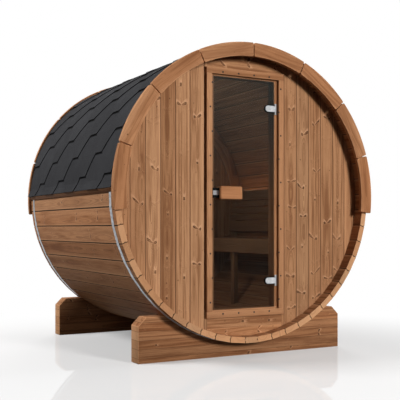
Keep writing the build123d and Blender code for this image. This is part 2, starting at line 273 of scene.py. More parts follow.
class Surface(Sheet):
    """Node sheet of one material."""

    def __init__(self, name: str) -> None:
        """Starts the material of that name."""
        self.material = bpy.data.materials.new(name)
        self.material.use_nodes = True
        super().__init__(self.material.node_tree)

    def attribute(self, name: str) -> tuple[Wire, Wire, Wire]:
        """Reads the three numbers of a vector that the mesh carries."""
        return self.split(self.wire("ShaderNodeAttribute", "Vector", {"attribute_name": name}))

    def place(self, scale: float) -> Wire:
        """Takes object coordinates in metres and multiplies them by a scale."""
        return self.scaled(self.wire("ShaderNodeTexCoord", "Object"), scale)

    def bump(self, height: Wire, distance: float) -> Wire:
        """Turns a height from 0 to 1 into a surface normal, where 1 stands for a distance in metres."""
        inputs = {"Strength": 1.0, "Distance": distance, "Height": height}
        return self.wire("ShaderNodeBump", 0, inputs=inputs)

    def finish(self, inputs: dict) -> bpy.types.Material:
        """Ends the material in a Principled shader.

        Args:
            inputs: Values or wires of the shader's sockets.

        Returns:
            The material.
        """
        shader = self.wire("ShaderNodeBsdfPrincipled", 0, inputs=inputs)
        self.node("ShaderNodeOutputMaterial", inputs={"Surface": shader})
        return self.material


@dataclass
class BoardPlace:
    """Where a shaded point lies in its own board, and what sets the board apart from its neighbours."""

    across: Wire
    along: Wire
    depth: Wire
    tone: Wire
    pith_across: Wire
    pith_depth: Wire


@dataclass
class Whorl:
    """Shares of knot, of its dark rim, of the pale wood over it and of the grain that swerves past it."""

    heart: Wire
    rim: Wire
    halo: Wire
    near: Wire


class Finish:
    """Look of some pieces, which share one material."""

    @cache
    def material(self) -> bpy.types.Material:
        """Gives the material, which is drawn the first time that it is asked for."""
        return self.draw()

    def draw(self) -> bpy.types.Material:
        """Draws the material's nodes."""
        raise NotImplementedError


@dataclass(frozen=True)
class WoodFinish(Finish):
    """Oiled, heat-treated softwood, with rings, streaks, whorls of knots and eased edges, which are painted
    lighter as a highlight.

    The mesh carries three vectors: grain has the place across, along and through the board, tone has a random
    number and the place of the pith, and cut has shares of eased edge and end grain and the depth in a joint. The
    depth in a joint darkens the wood there as painted shade.
    """

    name: str
    light: Colour = (0.455, 0.222, 0.106, 1.0)
    dark: Colour = (0.190, 0.074, 0.031, 1.0)
    late: Colour = (0.105, 0.038, 0.016, 1.0)
    # Colour of the sapwood, and also of the painted highlight beside each stave seam.
    sap_and_seam_highlight: Colour = (0.580, 0.310, 0.160, 1.0)
    halo: Colour = (0.640, 0.365, 0.205, 1.0)
    knot: Colour = (0.140, 0.056, 0.025, 1.0)
    rim: Colour = (0.030, 0.012, 0.006, 1.0)
    # Painted highlight: the lighter colour of eased edges and narrow faces.
    edge: Colour = (0.520, 0.262, 0.132, 1.0)
    end: Colour = (0.620, 0.345, 0.180, 1.0)
    # Near-black of the painted shade in joints and along stave seams.
    joint: Colour = (0.012, 0.006, 0.0035, 1.0)
    brightness: float = 1.0
    tone_spread: float = 0.30
    streaks: float = 0.85
    ring_pitch: float = 0.0036
    fibre_scale: float = 640.0
    knot_pitch: float = 0.27
    knot_share: float = 0.75
    knot_size: float = 1.0
    whorl_drift: float = 0.036
    whorl_spot_share: float = 0.30
    swerve_across: float = 0.040
    swerve_along: float = 0.080
    ragged_scale: float = 170.0
    pin_pitch: float = 0.43
    pin_drift: float = 0.085
    pin_from: float = 0.60
    lamella: float = 0.0
    glue_line: float = 0.0018
    joint_shade_depth: float = 0.0028
    joint_shade_share: float = 0.94
    # Stave seams, along which a painted highlight and a painted shade line are drawn.
    seam_radius: float = 0.0
    seam_slope: float = math.tan(math.radians(360.0 / 104.0))
    seam_half_width: float = 0.0046
    seam_highlight_reach: float = 0.016
    seam_skin: float = 0.010

    def whorls(self, sheet: Surface, board: BoardPlace) -> Whorl:
        """Draws the knots of a whorl, which the saw has cut along as two uneven spikes or across as one spot.

        Args:
            sheet: The material's sheet.
            board: The point's place in its board.

        Returns:
            What the knots do to the wood.
        """
        row = (board.along / self.knot_pitch).math("FLOOR")
        seed = sheet.join(row + 0.5, board.tone * 57.0, board.pith_across * 91.0)
        first, second, third = sheet.chance(seed)
        fourth, fifth, sixth = sheet.chance(sheet.scaled(seed, 3.7))
        ahead = board.along - (row + first * 0.6 + 0.2) * self.knot_pitch
        aside = board.across - (second - 0.5) * self.whorl_drift
        side = aside.math("SIGN") * (fourth - 0.5)
        spread = aside.math("ABSOLUTE")
        reach = ((aside / self.swerve_across) ** 2.0 + (ahead / self.swerve_along) ** 2.0).math("SQRT")
        near = sheet.ease(reach, 1.0, 0.0)
        rough = sheet.join(board.across * self.ragged_scale, board.along * self.ragged_scale, fifth * 40.0)
        ragged = sheet.noise(rough, 3.0, 0.6) - 0.5

        spike = sheet.math("GREATER_THAN", third, self.whorl_spot_share)
        length = (0.0052 + spike * (third * 0.0105 + 0.0010)) * (1.0 + side * 0.9) * self.knot_size
        gap = spike * length * 1.30
        taper = 0.50 + spread / (gap + length) * 0.60
        height = (0.0052 + fifth * 0.0042) * self.knot_size * (1.0 + (1.0 - spike) * 0.4) * taper
        rise = ahead - spread * (sixth * 0.8 + 0.1 + side * 0.6) * spike
        core = (((spread - gap) / length) ** 2.0 + (rise / height) ** 2.0).math("SQRT") + ragged * 1.3
        pale = (((spread - gap) / (length * 1.7)) ** 2.0 + ((rise - height * 0.8) / (height * 2.2)) ** 2.0)
        pale = pale.math("SQRT") + ragged * 0.6
        present = sheet.math("LESS_THAN", sixth, self.knot_share)
        heart = sheet.ease(core, 1.45, 1.0) * present
        rim = sheet.ease(core, 0.25, 0.80) * heart * sheet.ease(spread, gap * 0.5, gap * 1.2 + 0.0001)
        return Whorl(heart, rim, sheet.ease(pale, 1.35, 0.7) * present, near * present)

    def pin_knots(self, sheet: Surface, board: BoardPlace) -> Wire:
        """Draws single small knots anywhere on the board.

        Args:
            sheet: The material's sheet.
            board: The point's place in its board.

        Returns:
            Share of knot.
        """
        pitch = self.knot_pitch * self.pin_pitch
        row = (board.along / pitch).math("FLOOR")
        seed = sheet.join(row + 0.5, board.pith_across * 73.0, board.tone * 29.0)
        first, second, third = sheet.chance(seed)
        ahead = board.along - (row + first * 0.8 + 0.1) * pitch
        aside = board.across - (second - 0.5) * self.pin_drift
        size = (third - self.pin_from).math("MAXIMUM", 0.0) * 0.0095 * self.knot_size + 0.00001
        return sheet.ease((aside ** 2.0 + (ahead * 0.8) ** 2.0).math("SQRT") / size, 1.3, 0.7)

    def draw(self) -> bpy.types.Material:
        """Draws the wood's nodes.

        Returns:
            The material.
        """
        sheet = Surface(self.name)
        board = BoardPlace(*sheet.attribute("grain"), *sheet.attribute("tone"))
        eased, end, sunk = sheet.attribute("cut")
        glue_line = None
        if self.lamella:
            layer = (board.across / self.lamella).math("FLOOR")
            within = (board.across / self.lamella).math("FRACT") * self.lamella
            glue_line = sheet.ease(within.math("MINIMUM", self.lamella - within), self.glue_line, 0.0005)
            board.tone, shift, lift = sheet.chance(sheet.join(layer + 0.5, board.tone * 10.0, 0.5))
            board.across = within - self.lamella / 2.0
            board.along = board.along + shift * 9.0
            board.pith_depth = lift * 0.05 + 0.015
        whorl = self.whorls(sheet, board)
        pin = self.pin_knots(sheet, board)

        wander = sheet.noise(sheet.join(board.tone * 31.0, board.along * 1.1, board.pith_depth * 17.0)) - 0.5
        ripple = sheet.noise(sheet.join(board.across * 14.0, board.along * 3.5, board.tone * 51.0)) - 0.5
        beside, below = board.across - board.pith_across, board.depth + board.pith_depth
        radius = (beside ** 2.0 + below ** 2.0).math("SQRT")
        radius = radius + wander * 0.034 + ripple * 0.006 + whorl.near * 0.005
        late_wood = (radius / self.ring_pitch).math("FRACT") ** 3.0
        flame = sheet.noise(sheet.join(radius * 82.0, board.along * 1.4, board.tone * 23.0), 4.0, 0.62)
        streak = sheet.ease(flame, 0.42, 0.65)
        hair = sheet.join(board.across * self.fibre_scale, board.along * 10.0, board.depth * self.fibre_scale)
        fibre = sheet.noise(hair, 3.0, 0.6)
        stain = sheet.noise(sheet.join(board.across * 16.0, board.along * 2.4, board.tone * 77.0), 3.0, 0.6)

        colour = sheet.mix(streak * self.streaks, self.light, self.dark)
        colour = sheet.mix(sheet.ease(radius, 0.046, 0.066) * 0.5, colour, self.sap_and_seam_highlight)
        colour = sheet.mix(late_wood * 0.50, colour, self.late)
        colour = sheet.mix((fibre - 0.30) * 0.9, colour, self.dark)
        colour = sheet.mix(sheet.ease(stain, 0.48, 0.76) * 0.55, colour, self.dark)
        colour = sheet.mix(whorl.halo * 0.48, colour, self.halo)
        colour = sheet.mix(whorl.heart.math("MAXIMUM", pin) * 0.9, colour, self.knot)
        colour = sheet.mix(whorl.rim.math("MAXIMUM", pin) * 0.85, colour, self.rim)
        colour = sheet.mix(end * 0.55, colour, self.end)
        shade = (1.0 - self.tone_spread / 2.0 + board.tone * self.tone_spread) * self.brightness
        warmth = (board.tone * 7.3).math("FRACT") * 0.10
        cast = sheet.join(shade, shade * (1.03 - warmth), shade * (1.06 - warmth * 1.8))
        colour = sheet.mix(1.0, colour, cast, "MULTIPLY")
        # Painted highlight: eased edges and narrow faces turn lighter.
        colour = sheet.mix(eased * 0.55, colour, self.edge)
        if glue_line is not None:
            colour = sheet.mix(glue_line * 0.75, colour, self.rim)
        if self.seam_radius:
            # Along each stave seam: a pale strip is a painted highlight, and a dark line is painted shade, darkest
            # towards the outer face and on the ends.
            beside = (board.depth + self.seam_radius) * self.seam_slope - board.across.math("ABSOLUTE")
            pale = sheet.ease(beside, self.seam_highlight_reach, 0.007) * (1.0 - end)
            colour = sheet.mix(pale * 0.32, colour, self.sap_and_seam_highlight)
            shown = sheet.ease(board.depth, -self.seam_skin, 0.0).math("MAXIMUM", end) * 0.68 + 0.22
            colour = sheet.mix(sheet.ease(beside, self.seam_half_width, 0.0014) * shown, colour, self.joint)
        # Painted shade: board faces turn near black the deeper they lie in a joint.
        colour = sheet.mix(sheet.ease(sunk, 0.0, self.joint_shade_depth) * self.joint_shade_share, colour, self.joint)

        relief = fibre * 0.35 + (1.0 - late_wood) * 0.35 - whorl.heart * 0.3
        return sheet.finish({
            "Base Color": colour,
            "Roughness": late_wood * -0.08 + whorl.heart * -0.10 + fibre * 0.14 + 0.60,
            "Specular IOR Level": 0.05,
            "Normal": sheet.bump(relief, 0.0007),
        })


@dataclass(frozen=True)
class ShingleFinish(Finish):
    """Bitumen felt with slate granules, bare along the cut edges of each tab.

    A short dark stroke at the top of each notch, where the tab two courses up begins, is painted shadow under that
    tab.
    """

    name: str = "granulated bitumen"
    granule: Colour = (0.017, 0.017, 0.0185, 1.0)
    pale: Colour = (0.046, 0.046, 0.049, 1.0)
    # Black of the bare cut edges, and also of the painted shadow under each covering tab.
    bitumen: Colour = (0.0040, 0.0040, 0.0042, 1.0)
    granule_scale: float = 420.0
    cloud_scale: float = 9.0
    # Heights up the felt over which the painted shadow under the covering tab comes in.
    painted_shadow_from: float = 0.285
    painted_shadow_to: float = 0.293

    def draw(self) -> bpy.types.Material:
        """Draws the felt's nodes.

        Returns:
            The material.
        """
        sheet = Surface(self.name)
        edge, tone, _ = sheet.attribute("tab")
        grain = sheet.wire("ShaderNodeTexVoronoi", "Distance",
                           inputs={"Vector": sheet.place(self.granule_scale), "Scale": 1.0})
        cloud = sheet.noise(sheet.place(self.cloud_scale), 3.0)
        colour = sheet.mix(grain * 0.8, self.granule, self.pale)
        colour = sheet.mix(sheet.ease(cloud, 0.35, 0.8) * 0.35, colour, self.pale)
        shade = 0.91 + tone * 0.18
        colour = sheet.mix(1.0, colour, sheet.join(shade, shade, shade), "MULTIPLY")
        colour = sheet.mix(edge, colour, self.bitumen)
        _, up, _ = sheet.attribute("shape")
        # Painted shadow: a dark band on the felt just below the tab that covers it.
        colour = sheet.mix(sheet.ease(up, self.painted_shadow_from, self.painted_shadow_to), colour, self.bitumen)
        return sheet.finish({
            "Base Color": colour,
            "Roughness": 0.92 - edge * 0.25,
            "Specular IOR Level": 0.08,
            "Normal": sheet.bump(grain + cloud * 0.4, 0.0011),
        })


@dataclass(frozen=True)
class MetalFinish(Finish):
    """Plain metal with fine brushing and soft spangle."""

    name: str
    colour: Colour
    cloudy: Colour
    roughness: float
    cloud_scale: float
    brushing: float = 0.0
    hair_scale: float = 900.0
    hair_depth: float = 0.00006
    least_depth: float = 0.00001

    def draw(self) -> bpy.types.Material:
        """Draws the metal's nodes.

        Returns:
            The material.
        """
        sheet = Surface(self.name)
        cloud = sheet.noise(sheet.place(self.cloud_scale), 3.0, 0.6)
        hairs = sheet.noise(sheet.place(self.hair_scale), 1.0)
        return sheet.finish({
            "Base Color": sheet.mix(sheet.ease(cloud, 0.3, 0.7), self.colour, self.cloudy),
            "Metallic": 1.0,
            "Roughness": cloud * 0.12 + (self.roughness - 0.06),
            "Normal": sheet.bump(hairs, self.hair_depth * self.brushing + self.least_depth),
        })


@dataclass(frozen=True)
class GlassFinish(Finish):
    """Bronze-tinted safety glass that lets part of the light through, with clear cut edges and a painted
    reflection of the sky towards its top.
    """

    name: str = "bronze glass"
    tint: Colour = (0.004, 0.003, 0.002, 1.0)
    # Painted reflection: the glass's colour turns towards a pale sky colour, from this height over its bottom up
    # to its top.
    painted_sky_reflection: Colour = (0.026, 0.036, 0.034, 1.0)
    painted_reflection_from: float = 0.6
    cover: float = 0.30
    cut_edge: float = 0.0015
    haze_scale: float = 14.0

    def draw(self) -> bpy.types.Material:
        """Draws the glass's nodes.

        Returns:
            The material.
        """
        sheet = Surface(self.name)
        haze = sheet.noise(sheet.place(self.haze_scale), 2.0)
        low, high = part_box("door_glass")
        x, _, z = sheet.split(sheet.place(1.0))
        inside = (x - low[0]).math("MINIMUM", high[0] - x)
        inside = inside.math("MINIMUM", z - low[2]).math("MINIMUM", high[2] - z)
        return sheet.finish({
            # Painted reflection of the sky, lightening the colour towards the top of the glass.
            "Base Color": sheet.mix(sheet.ease(z, low[2] + self.painted_reflection_from, high[2]), self.tint, self.painted_sky_reflection),
            "Roughness": haze * 0.02 + 0.02,
            "Specular IOR Level": 0.12,
            "Alpha": sheet.math("GREATER_THAN", inside, self.cut_edge) * self.cover,
        })


@dataclass(frozen=True)
class PlainFinish(Finish):
    """Finish that is the same all over, which may glow."""

    name: str
    colour: Colour
    roughness: float
    specular: float = 0.5
    glow: Colour = WHITE
    glow_strength: float = 0.0

    def draw(self) -> bpy.types.Material:
        """Draws the one node of the finish.

        Returns:
            The material.
        """
        return Surface(self.name).finish({
            "Base Color": self.colour,
            "Roughness": self.roughness,
            "Specular IOR Level": self.specular,
            "Emission Color": self.glow,
            "Emission Strength": self.glow_strength,
        })


STAVE_WOOD = WoodFinish("stave wood", brightness=0.95, tone_spread=0.30, knot_pitch=0.36, knot_share=0.6,
                        knot_size=0.85, joint_shade_depth=0.0014, seam_radius=0.988)
WALL_WOOD = WoodFinish("wall board wood", brightness=1.05, tone_spread=0.34, knot_pitch=0.25, knot_size=1.05,
                       joint_shade_share=0.55, light=(0.455, 0.240, 0.120, 1.0), dark=(0.190, 0.081, 0.036, 1.0))
TRIM_WOOD = WoodFinish("trim wood", brightness=0.98, tone_spread=0.14, streaks=0.6, knot_pitch=0.42,
                       knot_share=0.0, knot_size=1.6)
FRAME_WOOD = WoodFinish("door frame wood", brightness=0.97, tone_spread=0.12, streaks=0.5, knot_pitch=0.34,
                        knot_share=0.2, knot_size=0.5)
CRADLE_WOOD = WoodFinish("cradle wood", brightness=0.88, tone_spread=0.34, knot_pitch=0.33, knot_share=0.5,
                         knot_size=0.8, lamella=0.058)
# The batten's low brightness is painted shade, for the shadow under the eave of the shingles.
SHADED_BATTEN_WOOD = WoodFinish("eave batten wood", brightness=0.36, tone_spread=0.20, knot_pitch=0.6,
                         knot_share=0.3)
BENCH_WOOD = WoodFinish("bench wood", light=(0.440, 0.250, 0.135, 1.0), dark=(0.230, 0.115, 0.058, 1.0),
                        brightness=0.80, tone_spread=0.16, streaks=0.35, knot_pitch=0.7, knot_share=0.2)
HANDLE_WOOD = WoodFinish("handle wood", brightness=1.02, tone_spread=0.05, streaks=0.3, knot_share=0.0,
                         knot_size=0.1)
FELT = ShingleFinish()
ZINC = MetalFinish("galvanized strap", (0.48, 0.50, 0.52, 1.0), (0.24, 0.25, 0.27, 1.0), 0.42, 40.0)
SATIN_CHROME = MetalFinish("satin chrome", (0.66, 0.67, 0.68, 1.0), (0.50, 0.51, 0.52, 1.0), 0.30, 60.0, 1.0)
LATCH_STEEL = MetalFinish("latch steel", (0.46, 0.46, 0.47, 1.0), (0.34, 0.34, 0.35, 1.0), 0.35, 40.0, 1.0)
SCREW_STEEL = MetalFinish("dark screw steel", (0.050, 0.045, 0.042, 1.0), (0.030, 0.027, 0.025, 1.0), 0.5,
                          300.0)
BRONZE_GLASS = GlassFinish()
# Plain black of the pads that show round the hinge clamps and the latch plate.
BLACK_PADS = PlainFinish("black rubber", (0.006, 0.006, 0.006, 1.0), 0.65, specular=0.04)
LAMP = PlainFinish("warm light strip", (0.8, 0.7, 0.55, 1.0), 0.6, glow=(1.0, 0.62, 0.34, 1.0),
                   glow_strength=10.0)


class Run(Enum):
    """Which way the grain runs in the pieces of a node."""

    LONGEST = "along the longest side"
    BARREL = "along the barrel"
    CHORD = "straight along each arc segment"
    ARC = "round the arc"


@dataclass
class Timber:
    """Wooden pieces of one CAD node, each with its own grain, tone and eased edges."""

    node: str
    finish: WoodFinish
    run: Run = Run.LONGEST
    easing: float = 0.0
    jointed: bool = False

    MERGE_DISTANCE = 0.00002
    FLAT_ANGLE = math.radians(0.6)
    SHARP_ANGLE = math.radians(32.0)
    SHORTEST_EASED = 3.0
    EASED_FACE = 0.0068
    SHORTEST_FACE = 0.03
    END_GRAIN = 0.8
    START_ALONG = (3.0, 60.0)
    PITH_ACROSS = (-0.030, 0.030)
    PITH_DEPTH = (0.012, 0.055)

    def merged_shape(self) -> bmesh.types.BMesh:
        """Joins the CAD node's loose triangles to flat faces.

        Returns:
            The shape as a bmesh.
        """
        shape = bmesh.new()
        shape.from_mesh(frame["nodes"][self.node].data)
        bmesh.ops.remove_doubles(shape, verts=shape.verts, dist=self.MERGE_DISTANCE)
        bmesh.ops.dissolve_limit(shape, angle_limit=self.FLAT_ANGLE, verts=shape.verts, edges=shape.edges)
        return shape

    def ease_edges(self, shape: bmesh.types.BMesh) -> set[bmesh.types.BMFace]:
        """Rounds the outer edges that the CAD left square.

        Args:
            shape: The pieces.

        Returns:
            The faces of the rounded edges.
        """
        if not self.easing:
            return set()
        sharp = [edge for edge in shape.edges
                 if len(edge.link_faces) == 2 and edge.calc_face_angle_signed() > self.SHARP_ANGLE
                 and edge.calc_length() > self.SHORTEST_EASED * self.easing]
        made = bmesh.ops.bevel(shape, geom=sharp, offset=self.easing, offset_type="OFFSET", segments=2,
                               profile=0.5, affect="EDGES", clamp_overlap=True)
        return set(made["faces"])

    def islands(self, shape: bmesh.types.BMesh) -> list[list[bmesh.types.BMVert]]:
        """Sorts the corners by the piece that they belong to.

        Args:
            shape: The pieces.

        Returns:
            A list of corners for each piece.
        """
        seen: set[int] = set()
        pieces = []
        for start in shape.verts:
            if start.index in seen:
                continue
            seen.add(start.index)
            piece = [start]
            for vertex in piece:
                for edge in vertex.link_edges:
                    other = edge.other_vert(vertex)
                    if other.index not in seen:
                        seen.add(other.index)
                        piece.append(other)
            pieces.append(piece)
        return pieces

    def directions(self, points: np.ndarray) -> tuple[np.ndarray, np.ndarray, np.ndarray]:
        """Finds the directions across, along and through a piece.

        Args:
            points: The piece's corners.

        Returns:
            Three unit vectors.
        """
        middle = (points.min(axis=0) + points.max(axis=0)) / 2.0
        outward = np.array([middle[0], 0.0, middle[2] - AXIS_HEIGHT])
        outward /= max(np.linalg.norm(outward), 1e-6)
        sideways = np.array([outward[2], 0.0, -outward[0]])
        barrel = np.array([0.0, 1.0, 0.0])
        if self.run is Run.BARREL:
            return sideways, barrel, outward
        if self.run is Run.CHORD:
            return outward, sideways, barrel
        order = np.argsort(points.max(axis=0) - points.min(axis=0))
        unit = np.eye(3)
        return unit[order[1]], unit[order[2]], unit[order[0]]

    def grain_places(self, points: np.ndarray) -> tuple[np.ndarray, np.ndarray, np.ndarray]:
        """Works out where the corners of a piece lie in its own grain.

        Args:
            points: The piece's corners.

        Returns:
            The places, centred in the piece, half its size in each direction and its grain direction.
        """
        if self.run is Run.ARC:
            out = np.hypot(points[:, 0], points[:, 2] - AXIS_HEIGHT)
            angle = np.arctan2(points[:, 0], points[:, 2] - AXIS_HEIGHT)
            places = np.column_stack([out, angle * out.mean(), points[:, 1]])
            along = np.zeros(3)
        else:
            across, along, through = self.directions(points)
            places = points @ np.column_stack([across, along, through])
        low, high = places.min(axis=0), places.max(axis=0)
        places = places - (low + high) / 2.0
        return places, (high - low) / 2.0, along

    def dress(self) -> None:
        """Builds the dressed pieces in place of the CAD node."""
        shape = self.merged_shape()
        rounded = self.ease_edges(shape)
        shape.verts.index_update()
        shape.faces.index_update()
        grain = shape.verts.layers.float_vector.new("grain")
        tone = shape.verts.layers.float_vector.new("tone")
        cut = shape.loops.layers.float_vector.new("cut")
        for number, piece in enumerate(self.islands(shape)):
            chance = random.Random(f"{self.node} {number}")
            places, half, along = self.grain_places(np.array([vertex.co for vertex in piece]))
            start = chance.uniform(*self.START_ALONG)
            pith = (chance.random(), chance.uniform(*self.PITH_ACROSS), chance.uniform(*self.PITH_DEPTH))
            for vertex, place in zip(piece, places):
                vertex[grain] = (place[0], place[1] + start, place[2])
                vertex[tone] = pith
            for face in {face for vertex in piece for face in vertex.link_faces}:
                longest = max(edge.calc_length() for edge in face.edges)
                narrow = face.calc_area() / longest < self.EASED_FACE and longest > self.SHORTEST_FACE
                end = float(abs(face.normal.dot(Vector(along))) > self.END_GRAIN)
                for loop in face.loops:
                    # Sunk is a corner's depth from the board's face, by which the finish paints shade in joints.
                    depth = half[2] - abs(loop.vert[grain][2])
                    sunk = max(depth, 0.0) if self.jointed and not end else 0.0
                    loop[cut] = (float(narrow or face in rounded), end, sunk)
        mesh = meshed(f"{self.node}_timber", shape)
        mesh.shade_smooth()
        mesh.set_sharp_from_angle(angle=self.SHARP_ANGLE)
        mesh.materials.append(self.finish.material())
        settle(linked(mesh.name, mesh), body_of(self.node), slot_of(self.node), self.node)


class Assembly:
    """Part of the sauna whose pieces are dressed together."""

    title = "assembly"

    def timbers(self) -> list[Timber]:
        """Lists the nodes of wood."""
        return []

    def finishes(self) -> dict[str, Finish]:
        """Gives the nodes that keep their CAD mesh a finish."""
        return {}

    def add_pieces(self) -> None:
        """Builds the pieces that only the looks have."""

    def build(self) -> None:
        """Dresses the assembly's nodes and adds its other pieces."""
        log.info("building the %s", self.title)
        for timber in self.timbers():
            timber.dress()
        for node, finish in self.finishes().items():
            slots = frame["nodes"][node].data.materials
            slots.clear()
            slots.append(finish.material())
            log.info("%s: %s", node, finish.name)
        self.add_pieces()


@dataclass
class Barrel(Assembly):
    """Staves of the barrel, the battens under the eaves and the hoops that hold it all."""

    title = "barrel"
    sectors: tuple[str, ...] = ("bottom", "lower_left", "side_left", "upper_left", "top_left",
                                "lower_right", "side_right", "upper_right", "top_right")
    batten_easing: float = 0.002

    def timbers(self) -> list[Timber]:
        """Lists the staves and the battens."""
        staves = [Timber(f"staves_{sector}", STAVE_WOOD, Run.BARREL, jointed=True) for sector in self.sectors]
        return staves + [Timber("roof_edge_battens", SHADED_BATTEN_WOOD, easing=self.batten_easing)]

    def finishes(self) -> dict[str, Finish]:
        """Gives the hoops their zinc."""
        return {"front_hoop": ZINC, "rear_hoop": ZINC}


@dataclass
class EndWalls(Assembly):
    """Upright boards of both ends, and the trim on their edges."""

    title = "end walls"
    trim_easing: float = 0.004
    arch_easing: float = 0.003

    def timbers(self) -> list[Timber]:
        """Lists the boards, the trim and the arch.

        Returns:
            The nodes of wood.
        """
        walls = ("front_wall_left", "front_wall_right", "front_wall_over_door", "front_wall_under_door",
                 "rear_wall_left", "rear_wall_right")
        boards = [Timber(node, WALL_WOOD, jointed=True) for node in walls]
        trim = [Timber(node, TRIM_WOOD, Run.CHORD, self.trim_easing) for node in ("front_trim", "rear_trim")]
        return boards + trim + [Timber("rear_wall_inner_arch", TRIM_WOOD, Run.ARC, self.arch_easing)]


@dataclass
class Cradles(Assembly):
    """Two glued beams that carry the barrel."""

    title = "cradles"
    easing: float = 0.004

    def timbers(self) -> list[Timber]:
        """Lists both cradles."""
        return [Timber(node, CRADLE_WOOD, easing=self.easing) for node in ("front_cradle", "rear_cradle")]


@dataclass
class Bench(Assembly):
    """Bench and backrest, with the warm light behind its top board."""

    title = "bench"
    easing: float = 0.003
    strip_gap: float = 0.001
    strip_thickness: float = 0.010
    strip_lift: float = 0.0002
    strip_rise: float = 0.002
    strip_setback: float = 0.02

    def timbers(self) -> list[Timber]:
        """Lists the boards and posts of the bench.

        Returns:
            The nodes of wood.
        """
        nodes = ("bench_apron", "bench_slats", "bench_bearers", "bench_leg", "backrest_slats",
                 "backrest_posts")
        return [Timber(node, BENCH_WOOD, easing=self.easing) for node in nodes]

    def add_pieces(self) -> None:
        """Lays the light strip on the backrest's posts."""
        low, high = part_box("backrest_slats")
        inner = high[0] + self.strip_gap
        outer = inner + self.strip_thickness
        base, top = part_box("backrest_posts")[1][2] + self.strip_lift, high[2] + self.strip_rise
        outline = [(inner, base), (outer, base), (outer, top), (inner, top)]
        ends = [low[1] + self.strip_setback, high[1] - self.strip_setback]
        settle(prisms("light_strip", [(outline, ends)], LAMP.material()), "sauna", "bench")


@dataclass
class Doorway(Assembly):
    """Door frame, glass leaf, hinges and handles."""

    title = "doorway"
    frame_easing: float = 0.002
    clamp_half_height: float = 0.021
    pad_margin: float = 0.006
    pad_inset: float = 0.0005
    pad_gap: float = 0.0002
    pad_thickness: float = 0.001
    latch_margin: float = 0.018
    round_steps: int = 12

    def timbers(self) -> list[Timber]:
        """Lists the frame and the handles.

        Returns:
            The nodes of wood.
        """
        frames = ("door_frame_head", "door_frame_sill", "door_frame_left_jamb", "door_frame_right_jamb")
        return ([Timber(node, FRAME_WOOD, easing=self.frame_easing) for node in frames]
                + [Timber(node, HANDLE_WOOD) for node in ("door_outer_handle", "door_inner_handle")])

    def finishes(self) -> dict[str, Finish]:
        """Gives glass and steel their finish."""
        return {"door_glass": BRONZE_GLASS, "hinge_clamps": SATIN_CHROME, "hinge_leaves": SATIN_CHROME,
                "door_latch_plate": LATCH_STEEL}

    def add_pieces(self) -> None:
        """Lays black pads on both faces of the glass, which look out round the clamps and the latch plate."""
        low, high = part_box("hinge_clamps")
        glass_low, glass_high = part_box("door_glass")
        latch_low, latch_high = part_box("door_latch_plate")
        half = self.clamp_half_height + self.pad_margin
        left, right = low[0] - self.pad_margin, glass_high[0] - self.pad_inset
        outlines = []
        for middle in (low[2] + self.clamp_half_height, high[2] - self.clamp_half_height):
            turns = [math.pi * (0.5 + step / self.round_steps) for step in range(self.round_steps + 1)]
            round_end = [(left + half + half * math.cos(turn), middle + half * math.sin(turn))
                         for turn in turns]
            outlines.append([(right, middle - half), (right, middle + half)] + round_end)
        latch_left, latch_right = glass_low[0] + self.pad_inset, latch_high[0]
        bottom, top = latch_low[2] - self.latch_margin, latch_high[2] + self.latch_margin
        outlines.append([(latch_left, bottom), (latch_right, bottom), (latch_right, top), (latch_left, top)])
        near, far = self.pad_gap, self.pad_gap + self.pad_thickness
        spans = ([glass_low[1] - far, glass_low[1] - near], [glass_high[1] + near, glass_high[1] + far])
        blocks = [(outline, span) for outline in outlines for span in spans]
        settle(prisms("gaskets", blocks, BLACK_PADS.material()), "door", "hinge_steel")


class RepeatTree(Sheet):
    """Geometry Nodes tree with named inputs that repeats an object."""

    NAME = "repeat"
    SOCKETS: tuple[tuple[str, str], ...] = ()

    def __init__(self) -> None:
        """Draws the tree."""
        super().__init__(bpy.data.node_groups.new(self.NAME, "GeometryNodeTree"))
        interface = self.tree.interface
        for direction in ("INPUT", "OUTPUT"):
            interface.new_socket("Geometry", in_out=direction, socket_type="NodeSocketGeometry")
        self.identifiers = {name: interface.new_socket(name, in_out="INPUT", socket_type=kind).identifier
                            for name, kind in self.SOCKETS}
        self.entry = self.node("NodeGroupInput")
        self.node("NodeGroupOutput", inputs={0: self.repeats()})

    def given(self, name: str) -> Wire:
        """Takes one of the tree's inputs."""
        return Wire(self, self.entry.outputs[name])

    def laid(self, points: Wire, item: str, **inputs: Wire) -> Wire:
        """Sets an object that is one of the tree's inputs on each point.

        Args:
            points: The points.
            item: Name of the input with the object.
            inputs: Other inputs of the Instance on Points node.

        Returns:
            The instances.
        """
        made = self.wire("GeometryNodeObjectInfo", "Geometry", inputs={"Object": self.given(item)})
        inputs = {"Points": points, "Instance": made, **inputs}
        return self.wire("GeometryNodeInstanceOnPoints", 0, inputs=inputs)

    def realized(self, instances: Wire) -> Wire:
        """Makes instances real."""
        return self.wire("GeometryNodeRealizeInstances", 0, inputs={0: instances})

    def dressed(self, geometry: Wire, item: str) -> Wire:
        """Gives geometry the material that is one of the tree's inputs."""
        inputs = {"Geometry": geometry, "Material": self.given(item)}
        return self.wire("GeometryNodeSetMaterial", 0, inputs=inputs)

    def repeats(self) -> Wire:
        """Lays out the repeats, as one mesh with its material."""
        raise NotImplementedError

    def run(self, carrier: bpy.types.Mesh, settings: dict) -> bpy.types.Mesh:
        """Runs the tree on a carrier and takes its result as a plain mesh.

        Args:
            carrier: The mesh that the tree works on, which may be empty.
            settings: Values of the tree's inputs by name.

        Returns:
            The result.
        """
        holder = linked("carrier", carrier)
        modifier = holder.modifiers.new(self.NAME, "NODES")
        modifier.node_group = self.tree
        for name, value in settings.items():
            modifier[self.identifiers[name]] = value
        evaluated = holder.evaluated_get(bpy.context.evaluated_depsgraph_get())
        mesh = bpy.data.meshes.new_from_object(evaluated)
        bpy.data.objects.remove(holder)
        return mesh


